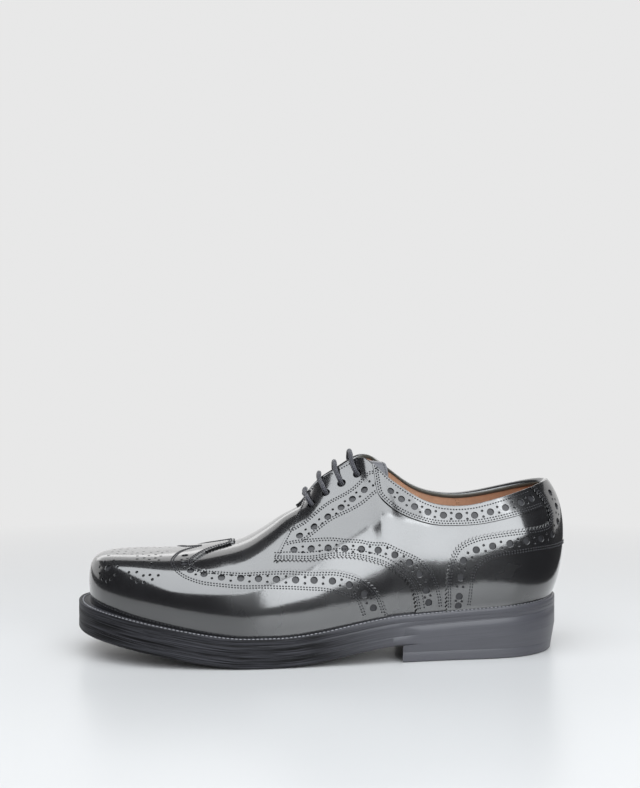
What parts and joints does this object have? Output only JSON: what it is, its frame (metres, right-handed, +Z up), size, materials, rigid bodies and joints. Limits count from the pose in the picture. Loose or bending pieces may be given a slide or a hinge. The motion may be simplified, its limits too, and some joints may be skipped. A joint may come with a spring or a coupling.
{
  "type": "brogue shoe",
  "caption": "Wing-tip derby shoe with full broguing, punched overlays, welted layered sole, stacked heel and laced facings.",
  "frame": {"origin": "on the floor, below the middle of the shoe's overall length and width", "axes": "+X from the toe to the heel, -Y to the outer side of the foot, +Z up"},
  "size_m": [0.3107, 0.1068, 0.1239],
  "materials": {
    "black_leather": "high gloss, finely grained",
    "sole_leather": "satin, dyed black at the edge",
    "edge_leather": "satin, dyed black",
    "insole_leather": "matt tan",
    "tongue_leather": "matt black",
    "heel_rubber": "matt black",
    "lace_cord": "waxed round cord"
  },
  "bodies": {
    "root": {"outsole": "sole_leather", "midsole": "edge_leather", "welt": "edge_leather", "heel_stack": "edge_leather", "heel_top_piece": "heel_rubber", "insole": "insole_leather", "upper": "black_leather", "wing_cap": "black_leather", "quarters": "black_leather", "counter": "black_leather", "collar_strip_outer": "black_leather", "collar_strip_inner": "black_leather", "tongue": "tongue_leather", "lace_bar_1": "lace_cord", "lace_bar_2": "lace_cord", "lace_bar_3": "lace_cord", "lace_bar_4": "lace_cord"}
  },
  "joints": []
}
